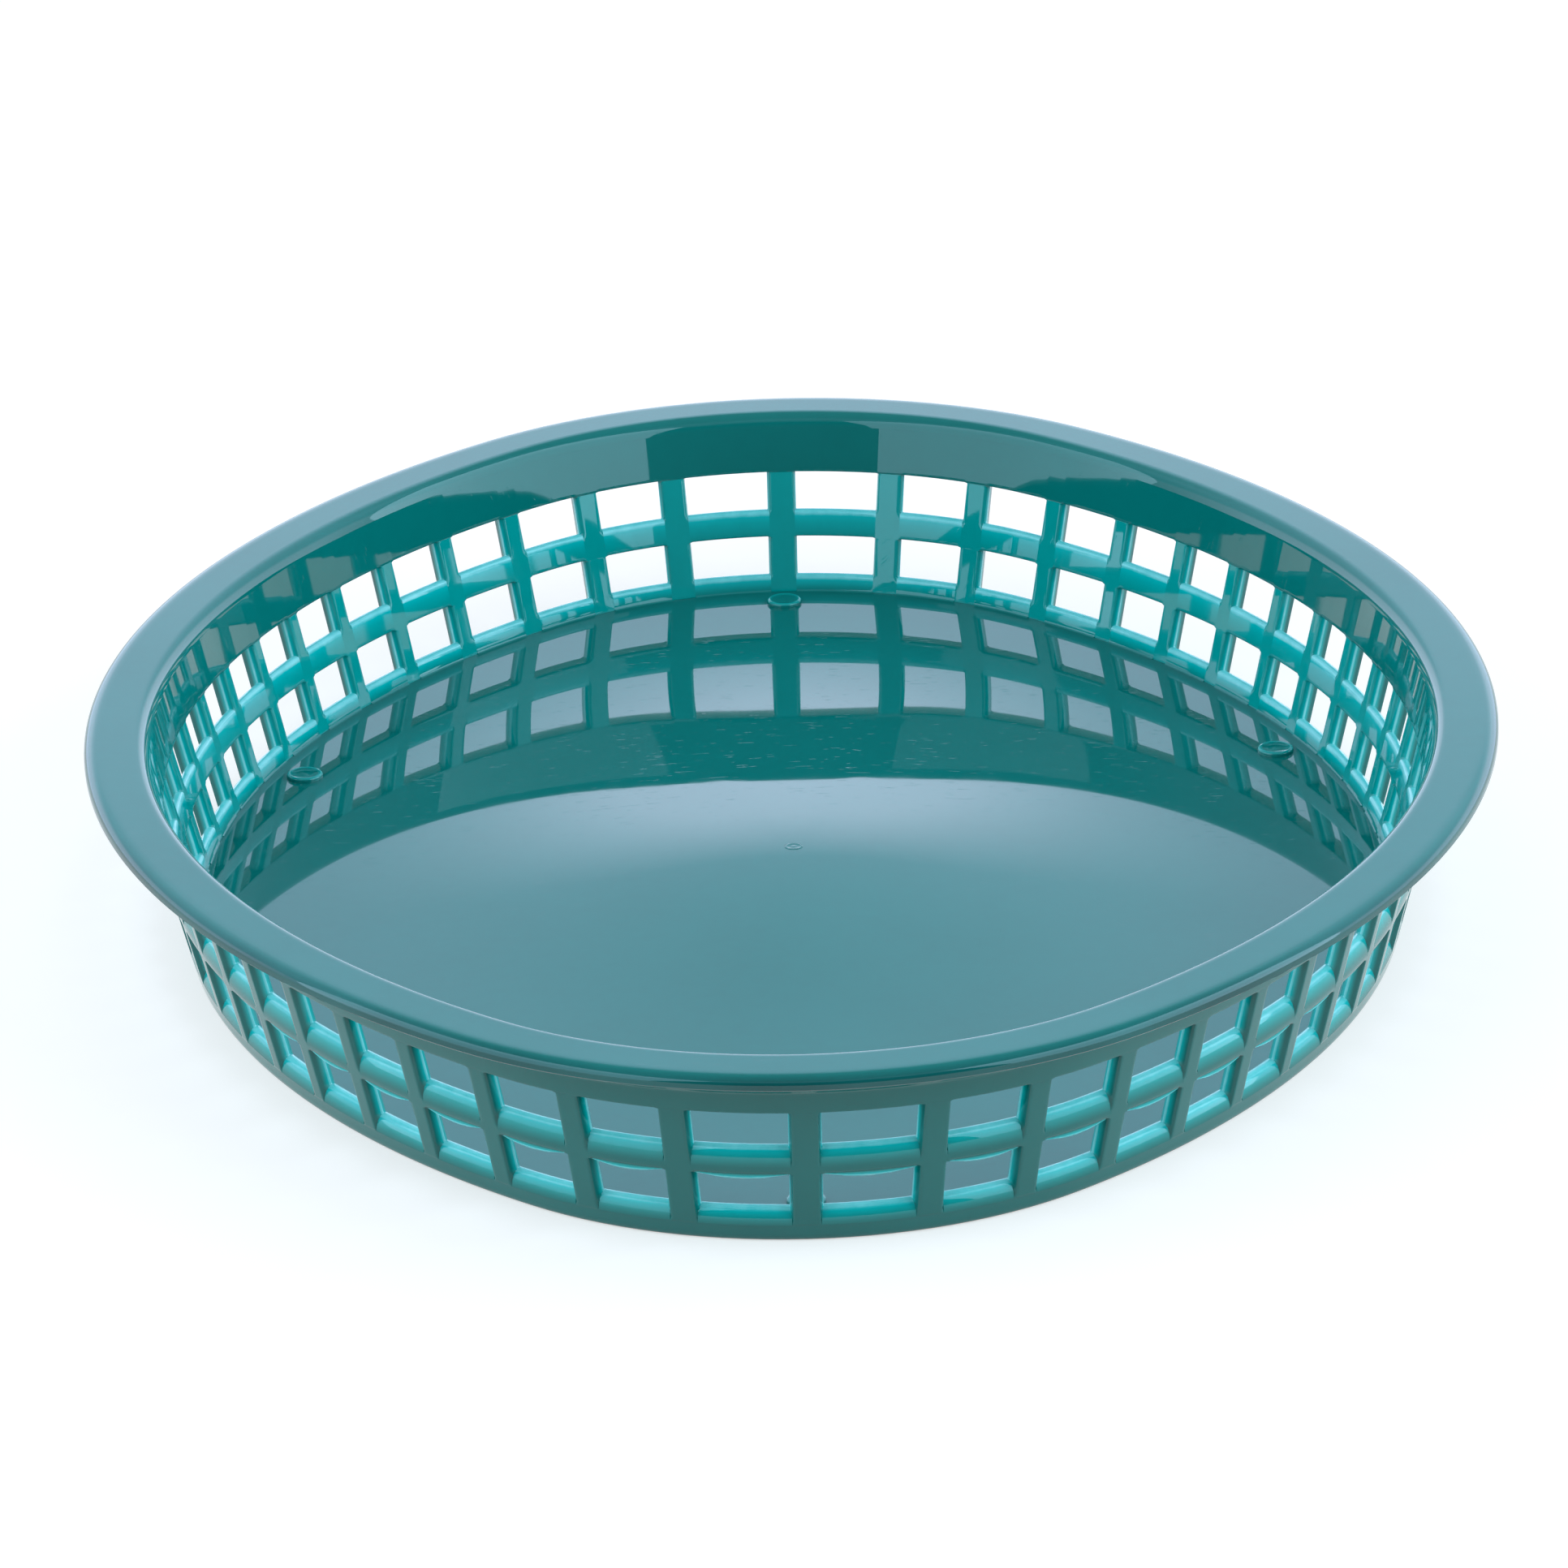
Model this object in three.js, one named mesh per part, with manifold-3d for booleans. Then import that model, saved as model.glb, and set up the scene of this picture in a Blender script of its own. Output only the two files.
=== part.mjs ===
// Oval platter basket, one moulding of tinted plastic, built from its own members.
// Millimetres, +Z up. X is the width, Y the length, and z = 0 is the table it stands on.
// Every member follows one four-arc oval, the outline of the floor. A place on the basket is
// given by the direction of the oval's outward normal, by an offset out from the oval and by a height.

import * as THREE from "three";
import Module from "manifold-3d";

const wasm = await Module();
wasm.setup();

// Floor outline, where the flat floor ends and the wall begins
const floor_length = 283;
const floor_width = 200;
const floor_end_radius = 64;

// Floor and the rim under it
const floor_thickness = 2.2;
const foot_depth = 0.8;
const foot_width = 6.0;
const foot_rounding = 1.2;

// Wall, which leans out evenly all the way round
const wall_thickness = 3.0;
const wall_start = 1.8;
const wall_lean = THREE.MathUtils.degToRad(14.2);

// Rows of windows, from the floor upwards
const sill_height = 3.0;
const window_height = 6.9;
const middle_hoop_height = 4.8;
const band_height = 8.1;

// Round backs of the two hoops, and the small rounding on their inner side
const hoop_back_height = 3.5;
const hoop_inner_rounding = 0.6;
const hoop_back_steps = 3;

// Step round the outside of the band, for the next basket in a stack
const ledge_drop = 4.3;
const ledge_depth = 0.6;

// Broad flat rim with its turned-down edge
const rim_reach = 20.5;
const rim_thickness = 2.4;
const rim_inner_rounding = 2.2;
const rim_edge_width = 2.8;
const rim_edge_drop = 2.1;
const rim_rounding_steps = 4;

// Upright ribs, spaced by bearing from the basket's centre. The cell beside an end rib is the
// widest, and the others open up by a small share from the ends to the sides.
const ribs_per_quarter = 13;
const end_cell_bearing = THREE.MathUtils.degToRad(7.8);
const cell_gain = 0.04;
const rib_width_at_ends = 4.8;
const rib_width_at_sides = 2.6;
const rib_draft = 0.5;

// Where ribs and hoops cross, a rib keeps this much of its depth and the hoop runs on behind it
const rib_lap = 1.4;

// Round pads on the floor, close to the wall
const pad_diameter = 5.6;
const pad_height = 0.6;
const pad_inset = 4.3;
const pad_root = 1.0;
const side_pad_bearing = THREE.MathUtils.degToRad(57.6);
const pad_sides = 20;

// Clearance round a crossing, what a cut reaches past the wall, and how finely curves are stepped
const seat_gap = 0.25;
const cut_margin = 2.0;
const end_arc_steps = 8;
const side_arc_steps = 12;
const search_steps = 40;

const plastic = { color: 0x17858a, roughness: 0.28, metalness: 0 };
const pale_plastic = { color: 0x6d9fa9, roughness: 0.16, metalness: 0 };

// Heights above the table that follow from the sizes
const floor_top = foot_depth + floor_thickness;
const lower_window_top = floor_top + sill_height + window_height;
const upper_window_bottom = lower_window_top + middle_hoop_height;
const band_bottom = upper_window_bottom + window_height;
const band_top = band_bottom + band_height;
const rim_top = band_top + rim_thickness;

// The four-arc oval: two end arcs, and two flatter side arcs that meet them without a corner
const half_length = floor_length / 2;
const half_width = floor_width / 2;
const end_centre = half_length - floor_end_radius;
const side_radius =
  (half_length ** 2 + half_width ** 2 - 2 * half_length * floor_end_radius) /
  (2 * (half_width - floor_end_radius));
const side_centre = side_radius - half_width;
const joint_angle = Math.atan2(side_centre, end_centre);

// The point of the oval, offset outwards, where the outward normal turns by angle from +Y to +X.
function outlinePoint(angle, offset, height) {
  const nx = Math.sin(angle);
  const ny = Math.cos(angle);
  const onEnd = Math.atan2(Math.abs(nx), Math.abs(ny)) < joint_angle;
  const radius = (onEnd ? floor_end_radius : side_radius) + offset;
  const centreX = onEnd ? 0 : -Math.sign(nx) * side_centre;
  const centreY = onEnd ? Math.sign(ny) * end_centre : 0;
  return new THREE.Vector3(centreX + radius * nx, centreY + radius * ny, height);
}

// Halving search for the angle between low and high at which measure, which rises, is reached.
function angleWhere(measure, wanted, low, high) {
  for (let step = 0; step < search_steps; step += 1) {
    const middle = (low + high) / 2;
    if (measure(middle) < wanted) {
      low = middle;
    } else {
      high = middle;
    }
  }
  return (low + high) / 2;
}

// The normal's angle, in the first quarter, at the point seen under a bearing from the centre.
function angleAtBearing(bearing, offset) {
  const bearingOf = (angle) => {
    const point = outlinePoint(angle, offset, 0);
    return Math.atan2(point.x, point.y);
  };
  return angleWhere(bearingOf, bearing, 0, Math.PI / 2);
}

// A law for one quarter, mirrored round all four. Steps count from the +Y end through +X.
function unfold(step, stepsPerQuarter, law) {
  const stepsPerHalf = 2 * stepsPerQuarter;
  const start = Math.floor(step / stepsPerHalf) * Math.PI;
  const within = step % stepsPerHalf;
  const angle = within <= stepsPerQuarter ? law(within) : Math.PI - law(stepsPerHalf - within);
  return start + angle;
}

function stationInQuarter(step) {
  if (step <= end_arc_steps) {
    return (joint_angle * step) / end_arc_steps;
  }
  return joint_angle + ((Math.PI / 2 - joint_angle) * (step - end_arc_steps)) / side_arc_steps;
}

const steps_per_quarter = end_arc_steps + side_arc_steps;
const stations = [];
for (let step = 0; step < 4 * steps_per_quarter; step += 1) {
  stations.push(unfold(step, steps_per_quarter, stationInQuarter));
}

// Joins sections, each a list of the same number of points, into one closed body.
// A loop of sections closes on itself; otherwise both ends get a flat cap, a fan from its first point.
function loft(sections, isLoop) {
  const size = sections[0].length;
  const positions = sections.flat().flatMap((point) => point.toArray());
  const triangles = [];
  const spans = isLoop ? sections.length : sections.length - 1;
  for (let span = 0; span < spans; span += 1) {
    const here = span * size;
    const next = ((span + 1) % sections.length) * size;
    for (let corner = 0; corner < size; corner += 1) {
      const after = (corner + 1) % size;
      triangles.push(here + corner, here + after, next + after);
      triangles.push(here + corner, next + after, next + corner);
    }
  }
  if (!isLoop) {
    const last = (sections.length - 1) * size;
    for (let corner = 1; corner < size - 1; corner += 1) {
      triangles.push(0, corner + 1, corner);
      triangles.push(last, last + corner, last + corner + 1);
    }
  }
  return { positions, triangles };
}

// The same body as a solid that can be cut and joined
function solid({ positions, triangles }) {
  const mesh = new wasm.Mesh({
    numProp: 3,
    vertProperties: new Float32Array(positions),
    triVerts: new Uint32Array(triangles),
  });
  return new wasm.Manifold(mesh);
}

const basket = new THREE.Group();

function addPiece(name, shape, look) {
  const { vertProperties, triVerts } = shape.getMesh();
  const geometry = new THREE.BufferGeometry();
  geometry.setAttribute("position", new THREE.BufferAttribute(vertProperties, 3));
  geometry.setIndex(new THREE.BufferAttribute(triVerts, 1));
  geometry.computeVertexNormals();
  const piece = new THREE.Mesh(geometry, new THREE.MeshStandardMaterial(look));
  piece.name = name;
  basket.add(piece);
}

// A profile point is [offset, height]; profiles run anticlockwise with the offset to the right.
function ring(profile) {
  const sections = stations.map((angle) =>
    profile.map(([offset, height]) => outlinePoint(angle, offset, height)),
  );
  return solid(loft(sections, true));
}

// Offsets of the wall's two faces at a height
function wallInside(height) {
  return wall_start + (height - floor_top) * Math.tan(wall_lean);
}

function wallOutside(height) {
  return wallInside(height) + wall_thickness;
}

// Points of a quarter ellipse from its side (fraction 0) to its top (fraction 1), ends included.
function quarterRound(centre, width, height, steps) {
  const points = [];
  for (let step = 0; step <= steps; step += 1) {
    const turn = (Math.PI / 2) * (step / steps);
    points.push([centre[0] + width * Math.cos(turn), centre[1] + height * Math.sin(turn)]);
  }
  return points;
}

// Floor: a plate with a shallow hollow underneath, so that it stands on a rim at its edge
function floorPlate() {
  const edge = wallOutside(foot_rounding);
  const outlines = [
    [edge - foot_width, foot_depth],
    [edge - foot_width, 0],
    [edge - foot_rounding, 0],
    [edge - foot_rounding + foot_rounding * Math.SQRT1_2, foot_rounding * (1 - Math.SQRT1_2)],
    [edge, foot_rounding],
    [wallOutside(floor_top), floor_top],
  ];
  const sections = outlines.map(([offset, height]) =>
    stations.map((angle) => outlinePoint(angle, offset, height)).reverse(),
  );
  return solid(loft(sections, false));
}

// A round pad, rooted in the floor, where the oval's normal has this angle
function floorPad(angle) {
  const circle = (height) => {
    const points = [];
    for (let side = 0; side < pad_sides; side += 1) {
      const turn = (2 * Math.PI * side) / pad_sides;
      const spoke = new THREE.Vector3(Math.cos(turn), Math.sin(turn), 0);
      const centre = outlinePoint(angle, -pad_inset, height);
      points.push(centre.addScaledVector(spoke, pad_diameter / 2));
    }
    return points;
  };
  return solid(loft([circle(floor_top - pad_root), circle(floor_top + pad_height)], false));
}

// One pad at each end and two at each side
function makeFloor() {
  const toSide = angleAtBearing(side_pad_bearing, -pad_inset);
  const padAngles = [0, toSide, Math.PI - toSide, Math.PI, Math.PI + toSide, -toSide];
  const floor = padAngles.reduce((whole, angle) => whole.add(floorPad(angle)), floorPlate());
  addPiece("base_plate", floor, pale_plastic);
}

// Ribs

const rib_count = 4 * ribs_per_quarter;
const rib_middle = (wallInside(floor_top) + wallOutside(band_bottom)) / 2;

function ribAngleInQuarter(step) {
  if (step === 0) {
    return 0;
  }
  const share = (step - 1) / (ribs_per_quarter - 1);
  const eased = share - cell_gain * share * (1 - share);
  return angleAtBearing(THREE.MathUtils.lerp(end_cell_bearing, Math.PI / 2, eased), rib_middle);
}

const rib_angles = [];
for (let rib = 0; rib < rib_count; rib += 1) {
  rib_angles.push(unfold(rib, ribs_per_quarter, ribAngleInQuarter));
}

// Half the width of a rib, so far in from its outer face. Ribs are wider towards the ends of the
// basket and towards its inside.
function ribHalfWidth(rib, inFromOutside) {
  const towardsEnd = Math.cos(rib_angles[rib]) ** 2;
  const outer = THREE.MathUtils.lerp(rib_width_at_sides, rib_width_at_ends, towardsEnd);
  return outer / 2 + (rib_draft * inFromOutside) / wall_thickness;
}

// A block that leans with the wall at a rib. It lies between two depths, measured inwards from the
// wall's outer face, and between two heights, and is wider than the rib by a margin on each flank.
function blockAtRib(rib, depths, heights, margin) {
  const angle = rib_angles[rib];
  const along = new THREE.Vector3(Math.cos(angle), -Math.sin(angle), 0);
  const corner = (depth, side, height) => {
    const across = side * (ribHalfWidth(rib, depth) + margin);
    const offset = wallOutside(height) - depth;
    return outlinePoint(angle, offset, height).addScaledVector(along, across);
  };
  const [outer, inner] = depths;
  const sections = heights.map((height) => [
    corner(outer, 1, height),
    corner(outer, -1, height),
    corner(inner, -1, height),
    corner(inner, 1, height),
  ]);
  return solid(loft(sections, false));
}

// Heights of the two hoops, from the underside to the crest
const hoop_heights = {
  bottom_hoop: [floor_top, floor_top + sill_height],
  middle_hoop: [lower_window_top, upper_window_bottom],
};

// A rib stands on the floor and reaches the band. Behind its outer part it is cut away at each
// hoop, so that the hoop runs through.
function makeRibs() {
  for (let rib = 0; rib < rib_count; rib += 1) {
    let body = blockAtRib(rib, [0, wall_thickness], [floor_top, band_bottom], 0);
    for (const [underside, crest] of Object.values(hoop_heights)) {
      const depths = [rib_lap, wall_thickness + cut_margin];
      const reach = [underside - seat_gap, crest + seat_gap];
      body = body.subtract(blockAtRib(rib, depths, reach, cut_margin));
    }
    addPiece(`rib_${String(rib + 1).padStart(2, "0")}`, body, plastic);
  }
}

// The round back and top of a hoop, from its outer face over to its inner face
function hoopTop(top, backHeight) {
  const crest = wallInside(top) + hoop_inner_rounding;
  const backFoot = top - backHeight;
  const backWidth = wallOutside(backFoot) - crest;
  const innerFoot = top - hoop_inner_rounding;
  const back = quarterRound([crest, backFoot], backWidth, backHeight, hoop_back_steps);
  return [...back, [wallInside(innerFoot), innerFoot]];
}

// A hoop runs all the way round, and each rib lies in a cut in its back
function addHoop(name, profile) {
  const [underside, crest] = hoop_heights[name];
  const reach = [underside - cut_margin, crest + cut_margin];
  let hoop = ring(profile);
  for (let rib = 0; rib < rib_count; rib += 1) {
    hoop = hoop.subtract(blockAtRib(rib, [-cut_margin, rib_lap + seat_gap], reach, seat_gap));
  }
  addPiece(name, hoop, plastic);
}

function makeHoops() {
  const sillTop = floor_top + sill_height;
  const sillBack = Math.min(hoop_back_height, sill_height);
  addHoop("bottom_hoop", [...hoopTop(sillTop, sillBack), [0, floor_top]]);
  addHoop("middle_hoop", [
    [wallOutside(lower_window_top), lower_window_top],
    ...hoopTop(upper_window_bottom, hoop_back_height),
    [wallInside(lower_window_top), lower_window_top],
  ]);
}

// Solid band above the windows, with the stacking step round its outside
function makeBand() {
  const ledge = band_top - ledge_drop;
  const profile = [
    [wallInside(band_bottom), band_bottom],
    [wallOutside(band_bottom), band_bottom],
    [wallOutside(ledge), ledge],
    [wallOutside(ledge) + ledge_depth, ledge + ledge_depth],
    [wallOutside(band_top) + ledge_depth, band_top],
    [wallInside(band_top), band_top],
  ];
  addPiece("top_band", ring(profile), plastic);
}

// Rim: flat on top, rounded into the wall inside and turned down at its outer edge
function makeRim() {
  const inside = wallInside(band_top);
  const edgeFoot = rim_top - rim_edge_drop;
  const outer = quarterRound(
    [rim_reach - rim_edge_width, edgeFoot],
    rim_edge_width,
    rim_edge_drop,
    rim_rounding_steps,
  );
  const inner = quarterRound(
    [inside + rim_inner_rounding, rim_top - rim_inner_rounding],
    -rim_inner_rounding,
    rim_inner_rounding,
    rim_rounding_steps,
  ).reverse();
  const profile = [[rim_reach, band_top], ...outer, ...inner, [inside, band_top]];
  addPiece("rim_flange", ring(profile), pale_plastic);
}

makeFloor();
makeRibs();
makeHoops();
makeBand();
makeRim();

export default basket;
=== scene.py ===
# %% [markdown]
# # An oval platter basket
#
# The real basket is one injection moulding of tinted, slightly translucent plastic: a flat floor,
# an openwork wall with two rows of windows, a solid band and a broad flat rim. This lesson loads
# its CAD solids as a fixed frame, makes a softer, rounded piece for each member of the moulding,
# gives them one plastic finish, and lights them.

# %% Load the frame
import math

import bmesh
import bpy
from mathutils import Matrix, Vector


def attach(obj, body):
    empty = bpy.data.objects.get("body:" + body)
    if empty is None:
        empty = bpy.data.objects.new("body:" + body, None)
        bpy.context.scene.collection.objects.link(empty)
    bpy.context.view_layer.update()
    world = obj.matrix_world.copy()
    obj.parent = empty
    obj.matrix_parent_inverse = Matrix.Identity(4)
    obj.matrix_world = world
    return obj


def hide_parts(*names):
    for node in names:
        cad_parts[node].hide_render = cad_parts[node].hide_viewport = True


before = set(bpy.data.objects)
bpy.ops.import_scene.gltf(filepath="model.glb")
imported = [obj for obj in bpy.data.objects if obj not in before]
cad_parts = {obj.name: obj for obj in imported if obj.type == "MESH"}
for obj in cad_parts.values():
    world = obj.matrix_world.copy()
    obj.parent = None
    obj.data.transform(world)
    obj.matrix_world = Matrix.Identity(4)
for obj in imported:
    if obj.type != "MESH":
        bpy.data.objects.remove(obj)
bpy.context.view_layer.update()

print("CAD nodes:", len(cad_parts))

# %% [markdown]
# ## Sizes
#
# Everything follows one four-arc oval, the outline of the floor. The sizes repeat those of the
# engineering model, in millimetres, which are easier to read for a basket. MM turns them into
# metres when a mesh is made.

# %% Sizes of the moulding
MM = 0.001

floor_length, floor_width, floor_end_radius = 283.0, 200.0, 64.0
floor_top, foot_depth, foot_width, foot_rounding = 3.0, 0.8, 6.0, 1.2
wall_thickness, wall_start, wall_lean = 3.0, 1.8, math.radians(14.2)
sill_top, lower_window_top, upper_window_bottom = 6.0, 12.9, 17.7
band_bottom, band_top, rim_top = 24.6, 32.7, 35.1
hoop_back_height, hoop_inner_rounding, crest_depth = 3.5, 0.6, 0.8
ledge_drop, ledge_depth = 4.3, 0.6
rim_reach, rim_edge_width, rim_edge_drop = 20.5, 2.1, 1.6
ribs_per_quarter, end_cell_bearing, cell_gain = 13, math.radians(7.8), 0.04
rib_width_at_ends, rib_width_at_sides, rib_draft = 4.3, 2.5, 0.5

half_length, half_width = floor_length / 2, floor_width / 2
end_centre = half_length - floor_end_radius
side_radius = (half_length**2 + half_width**2 - 2 * half_length * floor_end_radius) / (
    2 * (half_width - floor_end_radius)
)
side_centre = side_radius - half_width
joint_angle = math.atan2(side_centre, end_centre)
quarter_lengths = (floor_end_radius * joint_angle, side_radius * (math.pi / 2 - joint_angle))
path_length = 4 * sum(quarter_lengths)
print("length round the oval in mm:", round(path_length, 1))


# %% [markdown]
# ## The camera
#
# The photograph looks down at the short end of the basket with a long lens. The camera comes
# first, because every later choice is judged through it. Its place follows from three angles, its
# distance and the point of the basket that it is aimed at.

# %% Camera at the photograph's angle
camera_tilt, camera_turn, camera_roll = [math.radians(a) for a in (21.386, -0.194, 1.455)]
camera_distance, camera_lens = 1678.8, 218.4
camera_aim = Vector((-1.25, 44.93, floor_top))


def link_object(name, data):
    """A new object in the scene, which shows the given mesh, curve, lamp or camera."""
    thing = bpy.data.objects.new(name, data)
    bpy.context.scene.collection.objects.link(thing)
    return thing


def aim_camera():
    """Sets the camera on its own three axes: across the picture, up it, and back from it."""
    cos_up, sin_up = math.cos(camera_tilt), math.sin(camera_tilt)
    back = Vector((math.sin(camera_turn) * cos_up, -math.cos(camera_turn) * cos_up, sin_up))
    right = Vector((math.cos(camera_turn), math.sin(camera_turn), 0))
    up = back.cross(right)
    across = right * math.cos(camera_roll) - up * math.sin(camera_roll)
    upwards = right * math.sin(camera_roll) + up * math.cos(camera_roll)
    place = Matrix((across, upwards, back)).transposed().to_4x4()
    place.translation = (camera_aim + back * camera_distance) * MM
    lens = bpy.data.cameras.new("camera")
    lens.lens, lens.sensor_width, lens.clip_end = camera_lens, 36.0, 20.0
    camera = link_object("camera", lens)
    camera.matrix_world = place
    bpy.context.scene.camera = camera
    return camera


print("camera in mm:", [round(value / MM) for value in aim_camera().matrix_world.translation])

# %% [markdown]
# ## A path to bend things round
#
# Every member is drawn flat first, as if the wall were cut open and unrolled. Flat, x runs along
# the wall, y is the offset out from the oval and z is the height. Geometry Nodes then bend the
# flat strip round the oval. For that they need the oval itself as a path, and a tree that looks up
# the place on the path for each x.

# %% The oval as a path
end_steps, side_steps = 48, 96


def oval_point(angle, offset=0.0):
    """The point in mm, offset outwards, where the outward normal turns by angle from +Y to +X."""
    nx, ny = math.sin(angle), math.cos(angle)
    on_end = math.atan2(abs(nx), abs(ny)) < joint_angle
    radius = (floor_end_radius if on_end else side_radius) + offset
    centre_x = 0.0 if on_end else -math.copysign(side_centre, nx)
    centre_y = math.copysign(end_centre, ny) if on_end else 0.0
    return Vector((centre_x + radius * nx, centre_y + radius * ny, 0.0))


def make_path():
    """A closed polyline, whose points stand at even angles on each of the four arcs."""
    rest = math.pi / 2 - joint_angle
    quarter = [joint_angle * step / end_steps for step in range(end_steps)]
    quarter += [joint_angle + rest * step / side_steps for step in range(side_steps)]
    angles = quarter + [math.pi - angle for angle in reversed(quarter[1:] + [math.pi / 2])]
    angles += [math.pi + angle for angle in angles]
    curve = bpy.data.curves.new("oval_path", "CURVE")
    curve.dimensions = "3D"
    spline = curve.splines.new("POLY")
    spline.points.add(len(angles) - 1)
    for point, angle in zip(spline.points, angles):
        point.co = (*(oval_point(angle) * MM), 1.0)
    spline.use_cyclic_u = True
    return link_object("oval_path", curve)


oval_path = make_path()
print("points on the path:", len(oval_path.data.splines[0].points))


# %% A short way to write a tree
def set_socket(tree, socket, value):
    """Links another node's output to the socket, or gives the socket a plain value."""
    if isinstance(value, bpy.types.NodeSocket):
        tree.links.new(value, socket)
    else:
        socket.default_value = value


def add_node(tree, kind, settings=None, **inputs):
    """One node with its settings and inputs; From_Min stands for the socket From Min."""
    node = tree.nodes.new(kind)
    for name, value in (settings or {}).items():
        setattr(node, name, value)
    for name, value in inputs.items():
        set_socket(tree, node.inputs[name.replace("_", " ")], value)
    return node


def calculate(tree, operation, *values, kind="ShaderNodeMath"):
    """The result of a math node, whose inputs are given in order."""
    node = add_node(tree, kind, {"operation": operation})
    for socket, value in zip(node.inputs, values):
        set_socket(tree, socket, value)
    return node.outputs[0]


def on_vectors(tree, operation, *values):
    return calculate(tree, operation, *values, kind="ShaderNodeVectorMath")


def start_tree(name, sockets):
    """An empty tree with one geometry in and out, and the named inputs given."""
    tree = bpy.data.node_groups.new(name, "GeometryNodeTree")
    tree.interface.new_socket("Geometry", in_out="INPUT", socket_type="NodeSocketGeometry")
    tree.interface.new_socket("Geometry", in_out="OUTPUT", socket_type="NodeSocketGeometry")
    for label, kind in sockets:
        tree.interface.new_socket(label, in_out="INPUT", socket_type=kind)
    return tree, tree.nodes.new("NodeGroupInput"), tree.nodes.new("NodeGroupOutput")


# %% The tree that bends a flat strip round the oval
common_sockets = [
    ("Path", "NodeSocketObject"),
    ("Path Length", "NodeSocketFloat"),
    ("Material", "NodeSocketMaterial"),
]


def make_bend_tree():
    tree, given, result = start_tree("bend_round_oval", common_sockets[:2])
    place = add_node(tree, "GeometryNodeInputPosition")
    parts = add_node(tree, "ShaderNodeSeparateXYZ", Vector=place.outputs[0]).outputs
    along = calculate(tree, "FLOORED_MODULO", parts["X"], given.outputs["Path Length"])
    path = add_node(tree, "GeometryNodeObjectInfo", Object=given.outputs["Path"])
    sample = add_node(
        tree,
        "GeometryNodeSampleCurve",
        {"mode": "LENGTH"},
        Curves=path.outputs["Geometry"],
        Length=along,
    ).outputs
    outwards = on_vectors(tree, "CROSS_PRODUCT", (0.0, 0.0, 1.0), sample["Tangent"])
    offset = add_node(
        tree,
        "ShaderNodeVectorMath",
        {"operation": "SCALE"},
        Vector=on_vectors(tree, "NORMALIZE", outwards),
        Scale=parts["Y"],
    )
    flat = on_vectors(tree, "ADD", sample["Position"], offset.outputs[0])
    height = add_node(tree, "ShaderNodeCombineXYZ", Z=parts["Z"])
    bent = on_vectors(tree, "ADD", flat, height.outputs[0])
    moved = add_node(
        tree, "GeometryNodeSetPosition", Geometry=given.outputs["Geometry"], Position=bent
    )
    tree.links.new(moved.outputs[0], result.inputs[0])
    return tree


bend_tree = make_bend_tree()
print("nodes in the bending tree:", len(bend_tree.nodes))


# %% The tree for a plain strip
def finish_tree(tree, geometry, given, result):
    """Bends and smooths; Realize Instances and Set Material come last in every tree."""
    inputs = {"Path": given.outputs["Path"], "Path_Length": given.outputs["Path Length"]}
    group = {"node_tree": bend_tree}
    bent = add_node(tree, "GeometryNodeGroup", group, Geometry=geometry, **inputs)
    smooth = add_node(tree, "GeometryNodeSetShadeSmooth", Geometry=bent.outputs[0])
    real = add_node(tree, "GeometryNodeRealizeInstances", Geometry=smooth.outputs[0])
    painted = add_node(
        tree,
        "GeometryNodeSetMaterial",
        Geometry=real.outputs[0],
        Material=given.outputs["Material"],
    )
    tree.links.new(painted.outputs[0], result.inputs[0])


def make_strip_tree():
    tree, given, result = start_tree("strip_round_oval", common_sockets)
    finish_tree(tree, given.outputs["Geometry"], given, result)
    return tree


strip_tree = make_strip_tree()
print("nodes in the strip tree:", len(strip_tree.nodes))

# %% [markdown]
# ## The plastic
#
# One tinted plastic makes the whole basket, polished by the mould. It is a deep teal where it is
# solid, its own colour. The rest of the colour is painted light and shade: a brighter teal where
# the ribs and hoops let light through, a painted pale highlight and reflection at their crests and
# along the ridge of the ribs, painted shade down the backs of the hoops, and a painted dark shade
# on the turned-down edge of the rim. Those places are marked on the meshes with an attribute from
# 0 to 1, and a colour ramp turns it into colour. A truly translucent material could make that
# light itself, but it renders slowly and its colour is hard to steer, so the light is painted. The
# rest is small: slow clouds of pigment, mottled flow marks, fine scratches, gentle waves in the
# surface and a slight unevenness of the gloss.

# %% Helpers for material nodes
def noise(tree, place, scale, detail=2.0, roughness=0.5):
    inputs = {"Vector": place, "Scale": scale, "Detail": detail, "Roughness": roughness}
    return add_node(tree, "ShaderNodeTexNoise", **inputs).outputs[0]


def remap(tree, value, low, high, to_low, to_high):
    """Stretches the span from low to high into the span from to_low to to_high."""
    spans = {"From_Min": low, "From_Max": high, "To_Min": to_low, "To_Max": to_high}
    return add_node(tree, "ShaderNodeMapRange", Value=value, **spans).outputs[0]


def blend_colours(tree, share, first, second):
    """A Mix node; for colours it has its inputs in sockets 6 and 7 and its result in output 2."""
    node = add_node(tree, "ShaderNodeMix", {"data_type": "RGBA"})
    for number, value in ((0, share), (6, first), (7, second)):
        set_socket(tree, node.inputs[number], value)
    return node.outputs[2]


def ramp(tree, value, stops):
    """A colour ramp through (position, colour) stops."""
    node = add_node(tree, "ShaderNodeValToRGB", Fac=value)
    steps = node.color_ramp.elements
    while len(steps) < len(stops):
        steps.new(1.0)
    for step, (position, colour) in zip(steps, stops):
        step.position, step.color = position, (*colour, 1.0)
    return node.outputs[0]
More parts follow.
